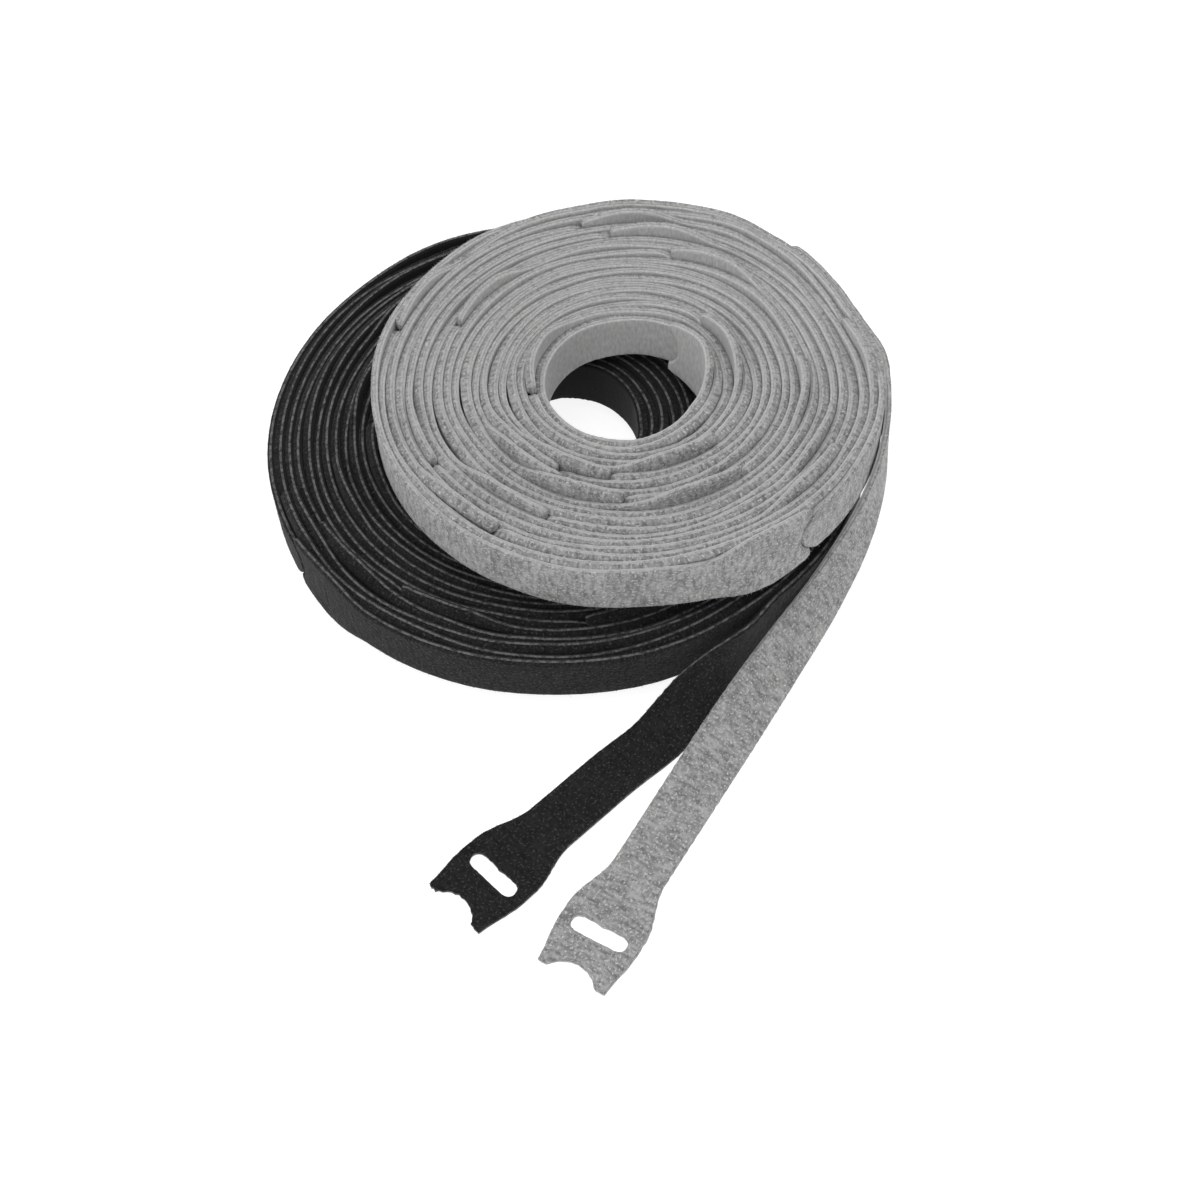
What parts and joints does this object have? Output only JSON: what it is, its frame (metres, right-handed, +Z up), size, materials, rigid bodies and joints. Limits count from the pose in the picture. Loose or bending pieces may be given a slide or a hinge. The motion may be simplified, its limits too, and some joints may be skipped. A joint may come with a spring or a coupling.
{
  "type": "roll of hook and loop tape",
  "caption": "Coreless rolls of hook and loop tape stacked grey on black, die cut into cable ties with slotted heads and rounded tails, free ends lying flat in front",
  "frame": {"origin": "middle of the whole object seen from above, on the plane that it stands on", "axes": "+Z is up along both winding axes; the free ends run towards -Y, and the grey roll is shifted towards +X on the black one"},
  "size_m": [0.1502, 0.2188, 0.0383],
  "materials": {
    "black_tape": "matt knitted loop pile outside, moulded hooks inside",
    "grey_tape": "matt knitted loop pile outside, moulded hooks inside"
  },
  "bodies": {
    "black_roll": {"black_tie_02": "black_tape", "black_tie_03": "black_tape", "black_tie_04": "black_tape", "black_tie_05": "black_tape", "black_tie_06": "black_tape", "black_tie_07": "black_tape", "black_tie_08": "black_tape", "black_tie_09": "black_tape", "black_tie_10": "black_tape", "black_tie_11": "black_tape", "black_tie_12": "black_tape", "black_tie_13": "black_tape", "black_tie_14": "black_tape", "black_tie_15": "black_tape", "black_tie_16": "black_tape", "black_tie_17": "black_tape", "black_tie_18": "black_tape", "black_tie_19": "black_tape", "black_tie_20": "black_tape", "black_tie_21": "black_tape", "black_tie_22": "black_tape", "black_tie_23": "black_tape", "black_tie_24": "black_tape", "black_tie_25": "black_tape", "black_tie_26": "black_tape", "black_tie_27": "black_tape", "black_tie_28": "black_tape", "black_tie_29": "black_tape", "black_tie_30": "black_tape", "black_tie_31": "black_tape", "black_tie_32": "black_tape", "black_tie_33": "black_tape"},
    "black_free_tie": {"black_tie_01": "black_tape"},
    "grey_roll": {"grey_tie_02": "grey_tape", "grey_tie_03": "grey_tape", "grey_tie_04": "grey_tape", "grey_tie_05": "grey_tape", "grey_tie_06": "grey_tape", "grey_tie_07": "grey_tape", "grey_tie_08": "grey_tape", "grey_tie_09": "grey_tape", "grey_tie_10": "grey_tape", "grey_tie_11": "grey_tape", "grey_tie_12": "grey_tape", "grey_tie_13": "grey_tape", "grey_tie_14": "grey_tape", "grey_tie_15": "grey_tape", "grey_tie_16": "grey_tape", "grey_tie_17": "grey_tape", "grey_tie_18": "grey_tape", "grey_tie_19": "grey_tape", "grey_tie_20": "grey_tape", "grey_tie_21": "grey_tape", "grey_tie_22": "grey_tape", "grey_tie_23": "grey_tape"},
    "grey_free_tie": {"grey_tie_01": "grey_tape"}
  },
  "joints": [
    {"name": "grey_roll_lift", "type": "slide", "parent": "black_roll", "child": "grey_roll", "axis": [0, 0, 1], "range_m": [0, 0.06]},
    {"name": "grey_tie_peel", "type": "hinge", "parent": "grey_roll", "child": "grey_free_tie", "pos_m": [0.0546, 0.07815, 0.0288], "axis": [0, 0, 1], "range_deg": [0, 60]},
    {"name": "black_tie_peel", "type": "hinge", "parent": "black_roll", "child": "black_free_tie", "pos_m": [0.05291, 0.08403, 0.0095], "axis": [0, 0, 1], "range_deg": [0, 54]}
  ],
  "couplings": [
    {"joint": "black_tie_peel", "follows": "grey_tie_peel", "ratio": 0.9}
  ]
}
